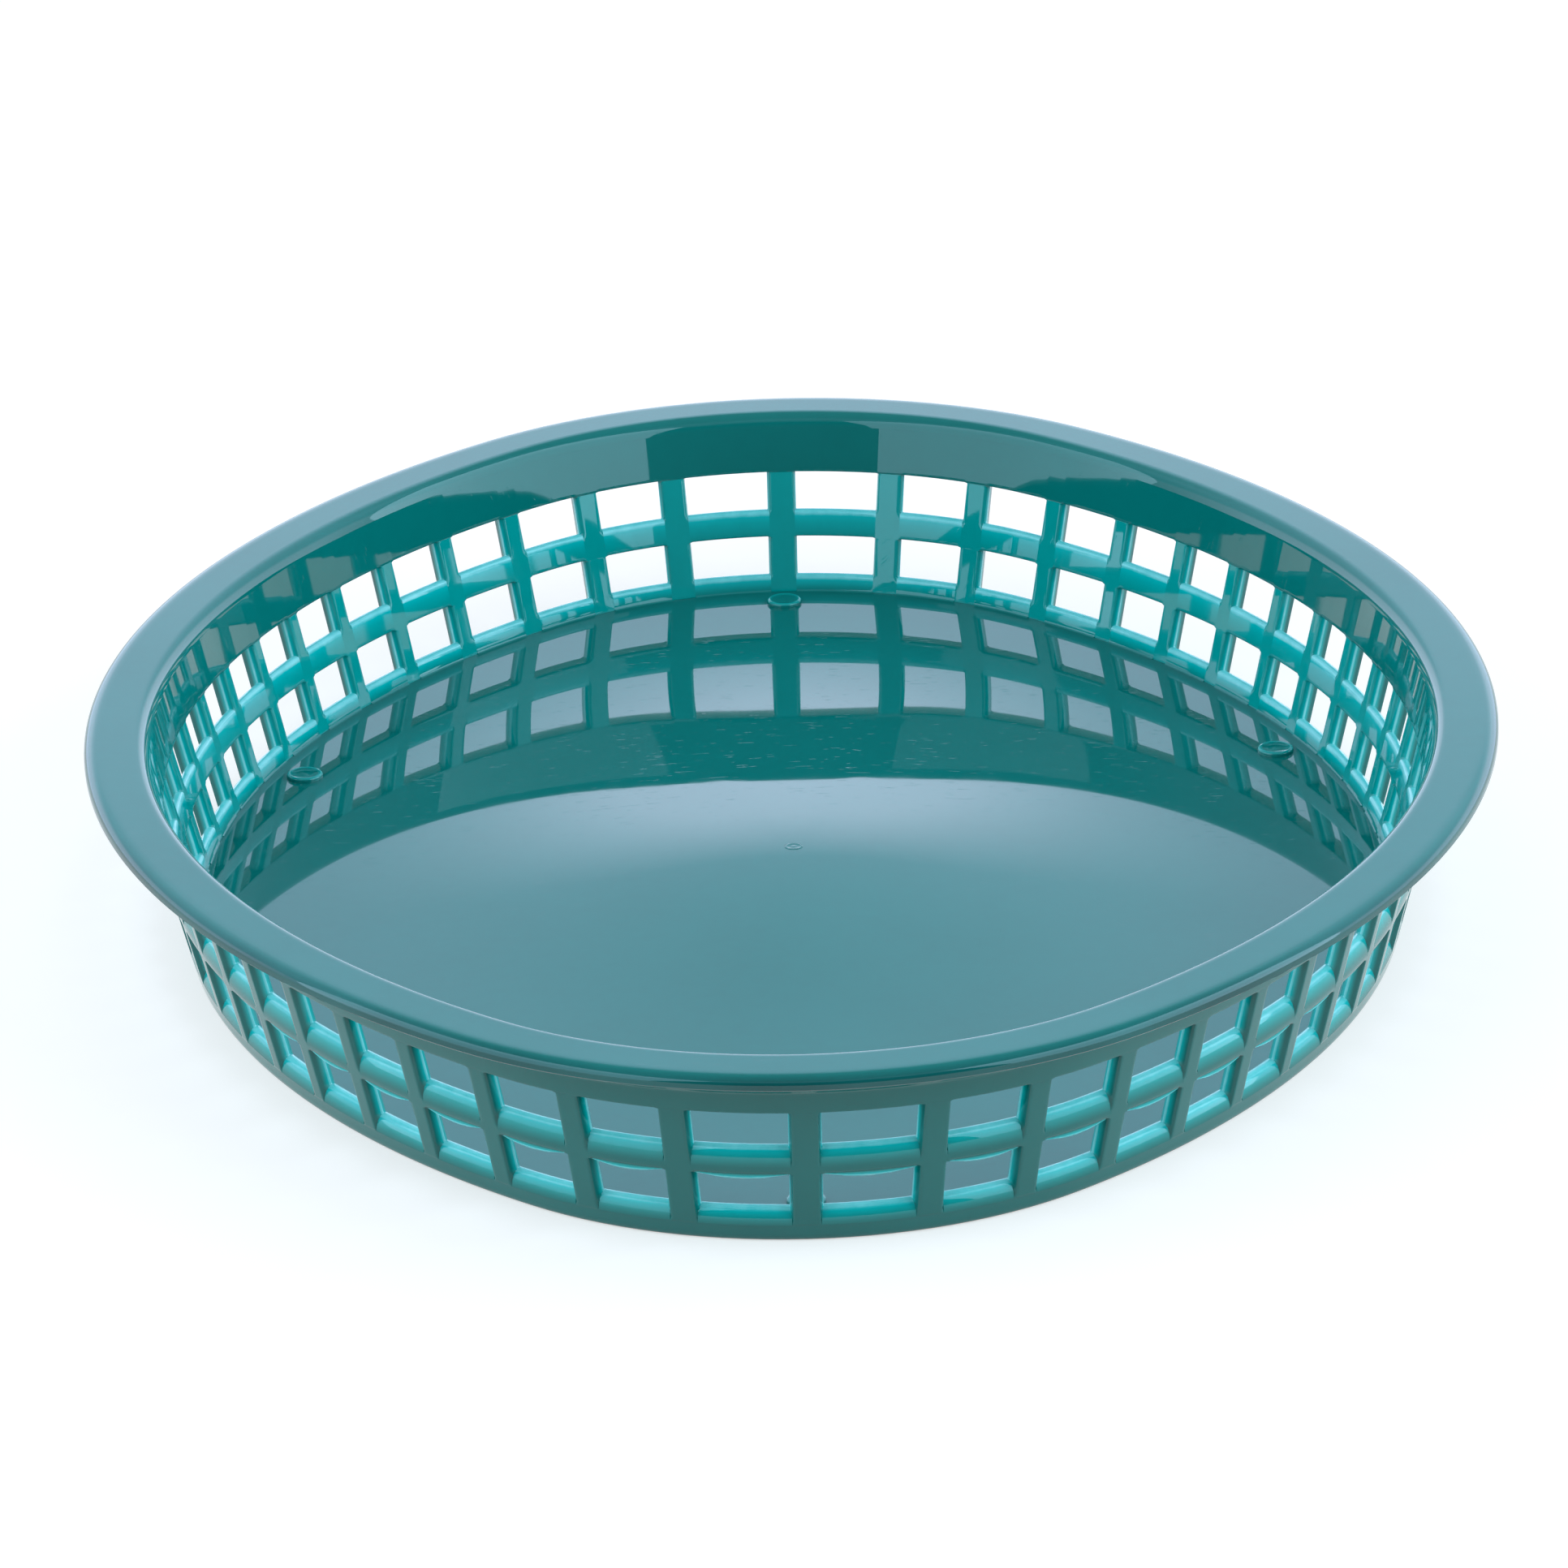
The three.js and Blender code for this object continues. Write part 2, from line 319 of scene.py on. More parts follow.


# %% The tinted plastic
# Stops of the colour ramp: the solid mark gives the plastic's own deep teal, higher marks give
# painted light through the plastic and a painted pale highlight, and 0 gives a painted dark shade.
solid_mark = 0.12
tint_and_light_stops = [
    (0.0, (0.0, 0.040, 0.038)),
    (solid_mark, (0.0, 0.140, 0.118)),
    (0.45, (0.0, 0.290, 0.255)),
    (0.8, (0.0, 0.43, 0.40)),
    (1.0, (0.27, 0.69, 0.66)),
]
cloud_colour, cloud_strength = (0.002, 0.170, 0.146, 1.0), 0.35
cloud_span, mottle_span = (0.35, 0.65), (0.35, 0.62)
gloss_span, scratch_span = (0.3, 0.7), (0.71, 0.76)
darkest_mottle, palest_mottle = 0.97, 1.02
smoothest, roughest = 0.014, 0.032
cloud_fades_at = 0.3
wave_depth, scratch_depth, scratch_turn = 0.00016, 0.0001, 0.6


def start_material(name, **inputs):
    """A material, its tree and its shader, with some inputs of the shader set."""
    material = bpy.data.materials.new(name)
    material.use_nodes = True
    shader = material.node_tree.nodes["Principled BSDF"]
    for label, value in inputs.items():
        shader.inputs[label.replace("_", " ")].default_value = value
    return material, material.node_tree, shader


def make_plastic():
    soft = {"Subsurface_Radius": (0.2, 1.0, 1.0), "Subsurface_Scale": 0.0015}
    material, tree, shader = start_material(
        "tinted_plastic", IOR=1.47, Subsurface_Weight=0.12, **soft
    )
    place = add_node(tree, "ShaderNodeTexCoord").outputs["Object"]

    # The painted light and shade, read from the attribute on the meshes.
    painted_light_and_shade = add_node(tree, "ShaderNodeAttribute", {"attribute_name": "painted_light_and_shade"}).outputs["Fac"]
    mottle = noise(tree, place, 300.0, 3.0, 0.6)
    mottle = remap(tree, mottle, *mottle_span, darkest_mottle, palest_mottle)
    tint_and_light = ramp(tree, calculate(tree, "MULTIPLY", painted_light_and_shade, mottle), tint_and_light_stops)
    clouds = remap(tree, noise(tree, place, 26.0), *cloud_span, 0.0, cloud_strength)
    solid = remap(tree, painted_light_and_shade, solid_mark, cloud_fades_at, 1.0, 0.0)
    share = calculate(tree, "MULTIPLY", clouds, solid)
    tree.links.new(blend_colours(tree, share, tint_and_light, cloud_colour), shader.inputs["Base Color"])

    gloss = remap(tree, noise(tree, place, 120.0, 3.0), *gloss_span, smoothest, roughest)
    tree.links.new(gloss, shader.inputs["Roughness"])

    turn = (0.0, 0.0, scratch_turn)
    stretch = add_node(
        tree, "ShaderNodeMapping", Vector=place, Rotation=turn, Scale=(1.0, 14.0, 1.0)
    )
    scratch = noise(tree, stretch.outputs[0], 260.0, 2.0, 0.4)
    scratch = remap(tree, scratch, *scratch_span, 0.0, 1.0)
    wave = noise(tree, place, 11.0, 0.0)
    dips = add_node(tree, "ShaderNodeBump", Height=wave, Strength=1.0, Distance=wave_depth)
    marks = add_node(
        tree,
        "ShaderNodeBump",
        Height=scratch,
        Strength=0.05,
        Distance=scratch_depth,
        Normal=dips.outputs[0],
    )
    tree.links.new(marks.outputs[0], shader.inputs["Normal"])
    return material


plastic = make_plastic()
print("nodes in the plastic:", len(plastic.node_tree.nodes))


# %% [markdown]
# ## From flat drawings to pieces
#
# A ring of the basket is a closed outline carried along a row of columns. The outline may change
# from column to column, which is how a hoop makes room for the ribs. One function then runs a
# tree on the flat drawing and keeps the result as a plain mesh.

# %% Helpers for the wall's slope and for rounded corners
def wall_inside(height):
    return wall_start + (height - floor_top) * math.tan(wall_lean)


def wall_outside(height):
    return wall_inside(height) + wall_thickness


def arc(centre, width, height, start, end, steps):
    """Points of an ellipse round centre, from one angle to another in degrees, ends included."""
    points = []
    for step in range(steps + 1):
        turn = math.radians(start + (end - start) * step / steps)
        points.append((centre[0] + width * math.cos(turn), centre[1] + height * math.sin(turn)))
    return points


def height_over(profile, offset):
    """The height of an open outline, whose offsets rise from point to point, at an offset."""
    for (left, low), (right, high) in zip(profile, profile[1:]):
        if offset <= right:
            share = min(max((offset - left) / max(right - left, 1e-9), 0.0), 1.0)
            return low + (high - low) * share
    return profile[-1][1]


print("the wall leans out by mm:", round(wall_inside(band_top) - wall_start, 1))


# %% Closed rings from columns of outlines
def link_mesh(name, bm):
    mesh = bpy.data.meshes.new(name)
    bm.to_mesh(mesh)
    bm.free()
    return link_object(name, mesh)


def join_rows(bm, low, high, closed=True):
    """Faces between two rows of vertices; where the second is a single one, they form a tip."""
    size = len(low)
    for corner in range(size if closed else size - 1):
        after = (corner + 1) % size
        top = high if len(high) == 1 else (high[after], high[corner])
        bm.faces.new((low[corner], low[after], *top))


def flat_ring(name, columns, close_outline=True):
    """Joins columns of (place, lateral, radius, outline, marks); outlines are (offset, height).

    Further out from an arc of this radius, a lateral distance takes up less of the path.
    """
    bm = bmesh.new()
    layer = bm.verts.layers.float.new("painted_light_and_shade")
    rows = []
    for place, lateral, radius, outline, painted_light_and_shade in columns:
        row = []
        for (offset, height), mark in zip(outline, painted_light_and_shade):
            along = place + lateral / (1 + offset / radius)
            vert = bm.verts.new((along * MM, offset * MM, height * MM))
            vert[layer] = mark
            row.append(vert)
        rows.append(row)
    for row, following in zip(rows, rows[1:] + rows[:1]):
        join_rows(bm, row, following, close_outline)
    return link_mesh(name, bm)


def plain_columns(outline, painted_light_and_shade=None, spacing=3.2):
    """Evenly spaced columns that all carry the same outline."""
    count = round(path_length / spacing)
    marks = painted_light_and_shade or [solid_mark] * len(outline)
    return [(path_length * step / count, 0.0, side_radius, outline, marks) for step in range(count)]


# %% Running a tree and keeping its result as a plain mesh
def run_tree(flat, tree, name, **more):
    """Runs a tree on a flat drawing and keeps what comes out as a piece, without the drawing."""
    modifier = flat.modifiers.new("bend", "NODES")
    modifier.node_group = tree
    values = {"Path": oval_path, "Path Length": path_length * MM, "Material": plastic, **more}
    for item in tree.interface.items_tree:
        if item.in_out == "INPUT" and item.name in values:
            modifier[item.identifier] = values[item.name]
    graph = bpy.context.evaluated_depsgraph_get()
    graph.update()
    mesh = bpy.data.meshes.new_from_object(flat.evaluated_get(graph))
    bpy.data.objects.remove(flat)
    mesh.name = name
    return link_object(name, mesh)


def face_outwards(piece, sharp=38.0):
    """Turns the faces outwards, keeps edges sharper than so many degrees, and measures."""
    bm = bmesh.new()
    bm.from_mesh(piece.data)
    bmesh.ops.recalc_face_normals(bm, faces=bm.faces)
    open_edges = sum(1 for edge in bm.edges if not edge.is_manifold)
    bm.to_mesh(piece.data)
    volume = bm.calc_volume(signed=True)
    bm.free()
    piece.data.set_sharp_from_angle(angle=math.radians(sharp))
    triangles = sum(len(face.vertices) - 2 for face in piece.data.polygons)
    volume = round(volume * 1e6, 2)
    print(piece.name, "triangles", triangles, "open edges", open_edges, "cm3", volume)


# %% [markdown]
# ## Where the ribs stand
#
# The ribs are spaced by bearing from the middle of the basket, a little wider apart towards the
# sides. Each rib is described by its place along the path, by the radius of the arc it stands on
# and by half its width.

# %% Places and widths of the ribs
rib_middle = (wall_inside(floor_top) + wall_outside(band_bottom)) / 2
rib_fillet = 0.2


def angle_at_bearing(bearing, offset):
    """The normal's angle where the offset oval is seen from its middle at a bearing from +Y."""
    low, high = 0.0, math.pi / 2
    for _ in range(40):
        middle = (low + high) / 2
        point = oval_point(middle, offset)
        if math.atan2(point.x, point.y) < bearing:
            low = middle
        else:
            high = middle
    return (low + high) / 2


def path_place(angle):
    """How far along the path, from the +Y end, the first quarter's normal has this angle."""
    if angle < joint_angle:
        return floor_end_radius * angle
    return quarter_lengths[0] + side_radius * (angle - joint_angle)


def quarter_ribs():
    ribs = []
    for step in range(ribs_per_quarter + 1):
        share = (step - 1) / (ribs_per_quarter - 1)
        eased = share - cell_gain * share * (1 - share)
        bearing = end_cell_bearing + (math.pi / 2 - end_cell_bearing) * eased
        angle = 0.0 if step == 0 else angle_at_bearing(bearing, rib_middle)
        if step == ribs_per_quarter:
            angle = math.pi / 2
        towards_end = math.cos(angle) ** 2
        width = rib_width_at_sides + (rib_width_at_ends - rib_width_at_sides) * towards_end
        radius = floor_end_radius if angle < joint_angle else side_radius
        ribs.append((path_place(angle), radius, width / 2))
    return ribs


def all_ribs():
    quarter = quarter_ribs()
    half = quarter + [(path_length / 2 - s, r, w) for s, r, w in reversed(quarter[1:-1])]
    return half + [(s + path_length / 2, r, w) for s, r, w in half]


ribs = all_ribs()
first_gaps = [round(after[0] - rib[0], 2) for rib, after in zip(ribs, ribs[1:5])]
print("ribs:", len(ribs), "first gaps in mm:", first_gaps)


# %% [markdown]
# ## The hoops
#
# Two hoops run right round the basket, with a round back outside and a small rounding inside. The
# lower one also fills the corner between floor and wall with a small hollow curve. They could be
# swept along the oval, but a sweep has one profile all the way round, and these change beside
# every rib. So they are drawn column by column and bent round the oval.

# %% Tops of the hoops
def hoop_top(top, back_height):
    """The crest of a hoop from the inner face over to the outer face, as (offset, height)."""
    crest = wall_inside(top) + crest_depth
    back_foot = top - back_height
    back_width = wall_outside(back_foot) - crest
    inner_foot = top - hoop_inner_rounding
    inner_width = crest - wall_inside(inner_foot)
    inner = arc((crest, inner_foot), inner_width, hoop_inner_rounding, 180, 90, 4)
    back = arc((crest, back_foot), back_width, back_height, 90, 0, 6)
    return inner + back[1:]


sill_crest = hoop_top(sill_top, sill_top - floor_top)
middle_crest = hoop_top(upper_window_bottom, hoop_back_height)
print("points on the crests:", len(sill_crest), len(middle_crest))


# %% The corner at the floor
corner_radius, corner_steps = 0.4, 4


def corner_curve():
    """The small hollow curve from the floor into the wall, a Bezier curve of three points."""
    height = floor_top + corner_radius
    pulls = [(wall_start - corner_radius, floor_top), (wall_start, floor_top)]
    pulls.append((wall_inside(height), height))
    points = []
    for step in range(corner_steps + 1):
        t = step / corner_steps
        weights = ((1 - t) ** 2, 2 * t * (1 - t), t * t)
        points.append(tuple(sum(w * p[axis] for w, p in zip(weights, pulls)) for axis in (0, 1)))
    return points


print("the corner ends at mm:", [round(value, 2) for value in corner_curve()[-1]])

# %% [markdown]
# The hoops carry painted light: a painted pale highlight along their crest, painted light through
# the plastic on their inner faces, and painted shade that darkens them downwards. The lists give
# these painted marks: on the back over the share of the way down, on the inner faces over the drop
# in mm.

# %% Painted light and shade on each place of a hoop
painted_back_shades = [(0.0, 0.88), (0.034, 0.92), (0.134, 0.90), (0.293, 0.70), (0.5, 0.47)]
painted_back_shades += [(0.741, 0.28), (1.0, solid_mark)]
painted_sill_shades = [(0.0, 0.90), (0.6, 0.95), (1.2, 0.72), (2.1, 0.42), (3.0, 0.20)]
painted_middle_shades = [(0.0, 0.90), (0.6, 0.95), (1.2, 0.76), (2.1, 0.60), (4.8, 0.36)]


def painted_hoop_light(outline, top, back_height, painted_inner_shades):
    """Painted light and shade: the inner list on the inner face, the back list on the back."""
    marks = []
    for offset, height in outline:
        drop = top - height
        before_crest = offset < wall_inside(top) + crest_depth
        if before_crest and offset < wall_inside(height) + wall_thickness / 2:
            marks.append(height_over(painted_inner_shades, drop))
        else:
            marks.append(height_over(painted_back_shades, drop / back_height))
    return marks


print("marks down the back:", [mark for _, mark in painted_back_shades])

# %% [markdown]
# Both hoops lie flush with the ribs on both faces of the wall. Two surfaces in one place would
# flicker, so the outline shrinks a little where a rib passes. The lower corners of the middle hoop
# are softly rounded between the ribs and crisp beside them, where the fillet of the rib takes
# over. At the -Y end its underside also swells down into a slim lip between the ribs, which gets a
# painted pale highlight.

# %% The outline of the middle hoop
corner_rounding, crisp_rounding = 0.4, 0.01
sag_shape = ((2.65, 0.75), (2.45, 1.0), (2.1, 0.95), (1.6, 0.6), (0.9, 0.2))


def lower_corners(low, lip):
    """The rounded corners under a ring of the leaning wall: the inner and the outer one."""
    inner = arc((wall_inside(low) + lip, low + lip), lip, lip, 270, 180, 3)
    outer = arc((wall_outside(low) - lip, low + lip), lip, lip, 360, 270, 3)
    inner = [(wall_inside(h) - wall_inside(low) + o, h) for o, h in inner]
    return inner, [(wall_outside(h) - wall_outside(low) + o, h) for o, h in outer]


def middle_outline(lip, sag=0.0):
    """lip rounds the lower corners; sag_shape times sag is how far the underside swells down."""
    low, foot = lower_window_top, middle_crest[0][1]
    inner, outer = lower_corners(low, lip)
    above = low + lip + 0.3
    inner_face = [(wall_inside(h), h) for h in (above, foot - 1.5, foot - 0.6)]
    underside = [(wall_inside(low) + depth, low - sag * part) for depth, part in sag_shape]
    return inner + inner_face + middle_crest + [(wall_outside(above), above)] + outer + underside


def shrunk(outline, amount):
    centre = [sum(point[axis] for point in outline) / len(outline) for axis in (0, 1)]
    points = []
    for point in outline:
        reach = math.hypot(point[0] - centre[0], point[1] - centre[1])
        points.append(tuple(c + (p - c) * (1 - amount / reach) for p, c in zip(point, centre)))
    return points


print("points round the middle hoop:", len(middle_outline(corner_rounding)))

# %% A ring that the ribs cross
tuck = 0.02


def columns_between_ribs(beside, between, hidden, fade, inner_count=3):
    """Columns for a ring: hidden under a rib, crisp beside it, soft from fade mm away from it.

    between gives the outline at a share of the way across the window that starts at a place.
    """
    columns = []
    for rib, next_rib in zip(ribs, ribs[1:] + ribs[:1]):
        place, radius, half = rib
        following, next_radius, next_half = next_rib
        reach, next_reach = half + rib_fillet, next_half + rib_fillet
        clear = (following - place) % path_length - reach - next_reach
        columns.append((place, -reach + tuck, radius, *hidden))
        columns.append((place, reach - tuck, radius, *hidden))
        columns.append((place, reach, radius, *beside))
        columns.append((place, reach + fade, radius, *between(fade / clear, place)))
        for step in range(1, inner_count + 1):
            along = fade + (clear - 2 * fade) * step / (inner_count + 1)
            columns.append((place + reach + along, 0.0, radius, *between(along / clear, place)))
        last = between(1 - fade / clear, place)
        columns.append((following, -next_reach - fade, next_radius, *last))
        columns.append((following, -next_reach, next_radius, *beside))
    return columns


def make_crossed_ring(name, *how):
    """The moulded ring of this name, with its columns set out as columns_between_ribs says."""
    flat = flat_ring(name + "_flat", columns_between_ribs(*how))
    ring = run_tree(flat, strip_tree, name + "_moulded")
    face_outwards(ring)
    return ring


# %% The middle hoop
lip_drop, lip_roundness, pale_below = 1.0, 0.7, 0.15
lip_reach, lip_fade, lip_shift = 135.0, 50.0, 7.0
hidden_by = 0.25


def with_marks(outline):
    """With painted light; the lip's painted highlight is full once it hangs down by pale_below mm.
    """
    marks = painted_hoop_light(outline, upper_window_bottom, hoop_back_height, painted_middle_shades)
    lip = [min((lower_window_top - height) / pale_below, 1.0) for _, height in outline]
    return outline, [max(mark, pale) for mark, pale in zip(marks, lip)]


def soft_outline(share, place):
    """The outline between two ribs, with a lip that is there only near the -Y end."""
    from_end = abs(place + lip_shift - path_length / 2)
    here = min(max((lip_reach - from_end) / lip_fade, 0.0), 1.0)
    sag = lip_drop * here * math.sin(math.pi * share) ** lip_roundness
    return with_marks(middle_outline(corner_rounding, sag))


crisp_outline = with_marks(middle_outline(crisp_rounding))
hidden_outline = with_marks(shrunk(middle_outline(crisp_rounding), hidden_by))
middle_hoop = make_crossed_ring("middle_hoop", crisp_outline, soft_outline, hidden_outline, 0.5, 9)


# %% The bottom hoop
def bottom_outline(sunk):
    """The outline of the bottom hoop; sunk is how far its faces draw back under a rib."""
    floor_line = [(offset + sunk, height - sunk) for offset, height in corner_curve()]
    inner_rise = [(wall_inside(sill_top - drop) + sunk, sill_top - drop) for drop in (2.1, 1.2)]
    turning = wall_inside(sill_top) + 0.5
    crest = [(o + (sunk if o < turning else -sunk), height) for o, height in sill_crest]
    foot = [(wall_outside(floor_top) - 0.3, floor_top - 0.3)]
    foot.append((wall_start - corner_radius + 0.6, floor_top - 0.5))
    return floor_line + inner_rise + crest + foot


def with_bottom_marks(outline):
    return outline, painted_hoop_light(outline, sill_top, sill_top - floor_top, painted_sill_shades)


open_bottom = with_bottom_marks(bottom_outline(0.0))
covered_bottom = with_bottom_marks(bottom_outline(0.15))
bottom_hoop = make_crossed_ring(
    "bottom_hoop", open_bottom, lambda share, place: open_bottom, covered_bottom, 0.4
)

# %% [markdown]
# ## The band and the rim
#
# Above the windows the wall is solid. A small step runs round its outside, where the next basket
# in a stack comes to rest. The rim turns outwards from it in a smooth curve, lies flat, and its
# outer edge is rounded over and turned down.

# %% The top band
band_rounding = 0.22


def band_outline(lip):
    """The band's outline: up its inner face, over its top and down outside past the ledge."""
    low, ledge = band_bottom, band_top - ledge_drop
    inner, outer = lower_corners(low, lip)
    step_out = [
        (wall_outside(band_top + 0.3) + ledge_depth, band_top + 0.3),
        (wall_outside(ledge + ledge_depth + 0.15) + ledge_depth, ledge + ledge_depth + 0.15),
        (wall_outside(ledge + ledge_depth) + ledge_depth - 0.08, ledge + ledge_depth),
        (wall_outside(ledge) + 0.08, ledge + 0.05),
        (wall_outside(ledge - 0.12), ledge - 0.12),
    ]
    inner_face = [(wall_inside(h), h) for h in (low + lip + 0.4, band_top - 0.5, band_top)]
    outer_face = [(wall_outside(h), h) for h in (ledge - 0.6, low + lip + 0.4)]
    top = [(wall_inside(band_top) + 0.6, band_top + 0.3)]
    return inner + inner_face + top + step_out + outer_face + outer


band_beside, band_between = [
    (outline, [solid_mark] * len(outline))
    for outline in (band_outline(crisp_rounding), band_outline(band_rounding))
]
top_band = make_crossed_ring(
    "top_band", band_beside, lambda share, place: band_between, band_beside, 0.4
)


# %% The rim
rim_curve_share = 0.6
# The rim's turned-down edge gets a painted dark shade.
painted_edge_shades = [(rim_reach - 1.3, solid_mark), (rim_reach, 0.03)]


def rim_outline():
    """The curve up from the wall is an ellipse, rim_curve_share times as wide as it is tall."""
    turn = math.atan(math.tan(wall_lean) / rim_curve_share)
    tall = (rim_top - band_top) / (1 - math.sin(turn))
    wide = rim_curve_share * tall
    start = wall_inside(band_top)
    centre = (start + wide * math.cos(turn), rim_top - tall)
    inner = arc(centre, wide, tall, 180 - math.degrees(turn), 90, 10)
    edge_foot = rim_top - rim_edge_drop
    outer = arc((rim_reach - rim_edge_width, edge_foot), rim_edge_width, rim_edge_drop, 90, 0, 8)
    flat = [(inner[-1][0] + 0.6, rim_top), (outer[0][0] - 0.8, rim_top)]
    under = [(rim_reach, band_top + 0.2), (rim_reach - 0.2, band_top), (rim_reach - 1.0, band_top)]
    return inner + flat + outer + under + [(start + 3.4, band_top), (start + 0.5, band_top)]


def rim_marks(outline):
    """The turned-down edge is the darkest place, as in the photograph."""
    # A painted shade: the mark falls to nearly 0 at the outer edge.
    return [height_over(painted_edge_shades, offset) for offset, _ in outline]


rim_flat = flat_ring("rim_flat", plain_columns(rim_outline(), rim_marks(rim_outline())))
rim_flange = run_tree(rim_flat, strip_tree, "rim_flange_moulded")
face_outwards(rim_flange)

# %% [markdown]
# ## The floor
#
# The floor is a plate with a shallow hollow underneath, so that the basket stands on a foot at its
# edge. Its middle is crowned by a little, which only its reflections give away: they are longer
# than a flat mirror would make them. The edge is bent round the oval like the rings. The middle is
# filled with smaller and smaller copies of that edge, above and below, lifted along a smooth curve.

# %% The edge of the floor
inner_reach = 7.5


def floor_outline():
    """From inner_reach mm inside the oval, out over the floor, round the foot and back below."""
    outside, edge = wall_outside(floor_top), wall_outside(foot_rounding)
    foot_inside = edge - foot_width
    round_foot = arc((edge - foot_rounding, foot_rounding), foot_rounding, foot_rounding, 0, -90, 4)
    outline = [(-inner_reach, floor_top), (-4.0, floor_top), (outside - 0.4, floor_top)]
    outline += [(outside, floor_top), (edge, foot_rounding + 0.1)] + round_foot[1:]
    outline += [(foot_inside + 0.3, 0.0), (foot_inside, 0.2), (foot_inside, foot_depth - 0.2)]
    return outline + [(foot_inside - 0.3, foot_depth), (-inner_reach, foot_depth)]


floor_flat = flat_ring("floor_flat", plain_columns(floor_outline()), close_outline=False)
floor_plate = run_tree(floor_flat, strip_tree, "base_plate_moulded")
print("corners of the floor's edge:", len(floor_plate.data.vertices))

# %% The crowned middle
crown_height = 5.0
crown_rings = 20


def edge_loops(bm):
    """The open edges of the bent strip as two loops of vertices, each in order.

    The edges wait in a dict, because a set would start the loops elsewhere in every run.
    """
    open_edges = dict.fromkeys(edge for edge in bm.edges if edge.is_boundary)
    loops = []
    while open_edges:
        edge, loop = next(iter(open_edges)), []
        vert = edge.verts[0]
        while edge:
            del open_edges[edge]
            loop.append(vert)
            vert = edge.other_vert(vert)
            edge = next((e for e in vert.link_edges if e in open_edges), None)
        loops.append(loop)
    return loops


def crown_lift(share):
    """The crown in mm, at a share of the way from the middle to where the floor turns level."""
    return crown_height * (1 - share) ** 3 * (1 + 3 * share)


def add_crown(piece):
    """Closes the middle above and below with rings that shrink to a point and rise on the way."""
    bm = bmesh.new()
    bm.from_mesh(piece.data)
    layer = bm.verts.layers.float["painted_light_and_shade"]
    for loop in edge_loops(bm):
        level = loop[0].co.z
        outline = [vert.co.copy() for vert in loop]
        previous = loop
        for ring in range(1, crown_rings):
            share = 1 - ring / crown_rings
            lift = crown_lift(share) * MM
            smaller = [bm.verts.new((p.x * share, p.y * share, level + lift)) for p in outline]
            join_rows(bm, previous, smaller)
            previous = smaller
        join_rows(bm, previous, [bm.verts.new((0.0, 0.0, level + crown_height * MM))])
    for vert in bm.verts:
        vert[layer] = solid_mark
    bm.to_mesh(piece.data)
    bm.free()
    piece.data.shade_smooth()


add_crown(floor_plate)
face_outwards(floor_plate)

# %% [markdown]
# ## The ribs
#
# Fifty-two ribs stand between floor and band, alike except for their width. So one master rib is
# drawn with no width of its own, only with its rounded edges, the ridge of its flanks and the
# fillets that flow into the hoops. Geometry Nodes copy it to each place and spread its two sides
# apart by that rib's own half width. Scaling would be simpler, but would stretch the fillets too.

# %% Heights of the master rib
back_foot = upper_window_bottom - hoop_back_height
flush_zones = ((floor_top - 1, floor_top), (lower_window_top, back_foot))
inner_flush_zones = (
    (floor_top - 1, sill_top - hoop_inner_rounding),
    (lower_window_top, upper_window_bottom - hoop_inner_rounding),
)
top_zone = (band_bottom, band_bottom + 2)
lower_row = (floor_top, sill_top, lower_window_top)
upper_row = (back_foot, upper_window_bottom, band_bottom)


def rib_rows():
    """Heights of the rows, close together where a fillet or a hoop's rounding bends."""
    rows = [floor_top - 0.6]
    for foot, top, ceiling in (lower_row, upper_row):
        rows += [foot + (top - foot) * step / 8 for step in range(9)]
        rows += [top + rise for rise in (0.15, 0.3, 0.45)]
        rows += [top + (ceiling - top) * share for share in (0.3, 0.5, 0.7)]
        rows += [ceiling - gap for gap in (0.9, 0.6, 0.4, 0.25, 0.12, 0.04, 0.0)]
        rows.append(ceiling + 0.5)
    return rows


def edge_share(height, zones):
    """0 where the rib runs flush through a hoop or meets the band, 1 well away from there."""
    gaps = [max(low - height, height - high, 0.0) for low, high in (*zones, top_zone)]
    return min(min(gaps) / rib_fillet, 1.0)


def fillet(distance):
    """The width of a fillet at a distance from the face that it flows into."""
    left = min(max(rib_fillet - distance, 0.0), rib_fillet)
    return rib_fillet - math.sqrt(rib_fillet**2 - left**2)


def flare(height, depth):
    """How far the fillets widen one side of the rib; depth is counted from the inner face."""
    offset = wall_inside(height) + depth
    gaps = [height - height_over(sill_crest, offset), band_bottom - height]
    if height > lower_window_top:
        gaps.append(height - height_over(middle_crest, offset))
    else:
        gaps.append(lower_window_top - height)
    return max(fillet(gap) for gap in gaps)


print("rows of the master rib:", len(rib_rows()))


# %% Section of the master rib, and its painted light
rib_edge, rib_inner_edge, rib_widest_depth = 0.2, 0.3, 1.0
half_turned = 0.293  # 1 - cos 45 degrees
outer_inset, inner_inset = 0.45, 0.4
# The inner face gets painted light through the plastic, and the ridge of the flanks a painted
# highlight.
painted_inner_glow, solid_depth = 0.45, 2.0
painted_flank_shades = [(rib_inner_edge, painted_inner_glow), (0.7, 0.70), (rib_widest_depth, 1.0)]
painted_flank_shades += [(1.3, 0.90), (1.8, 0.45), (2.3, solid_mark)]


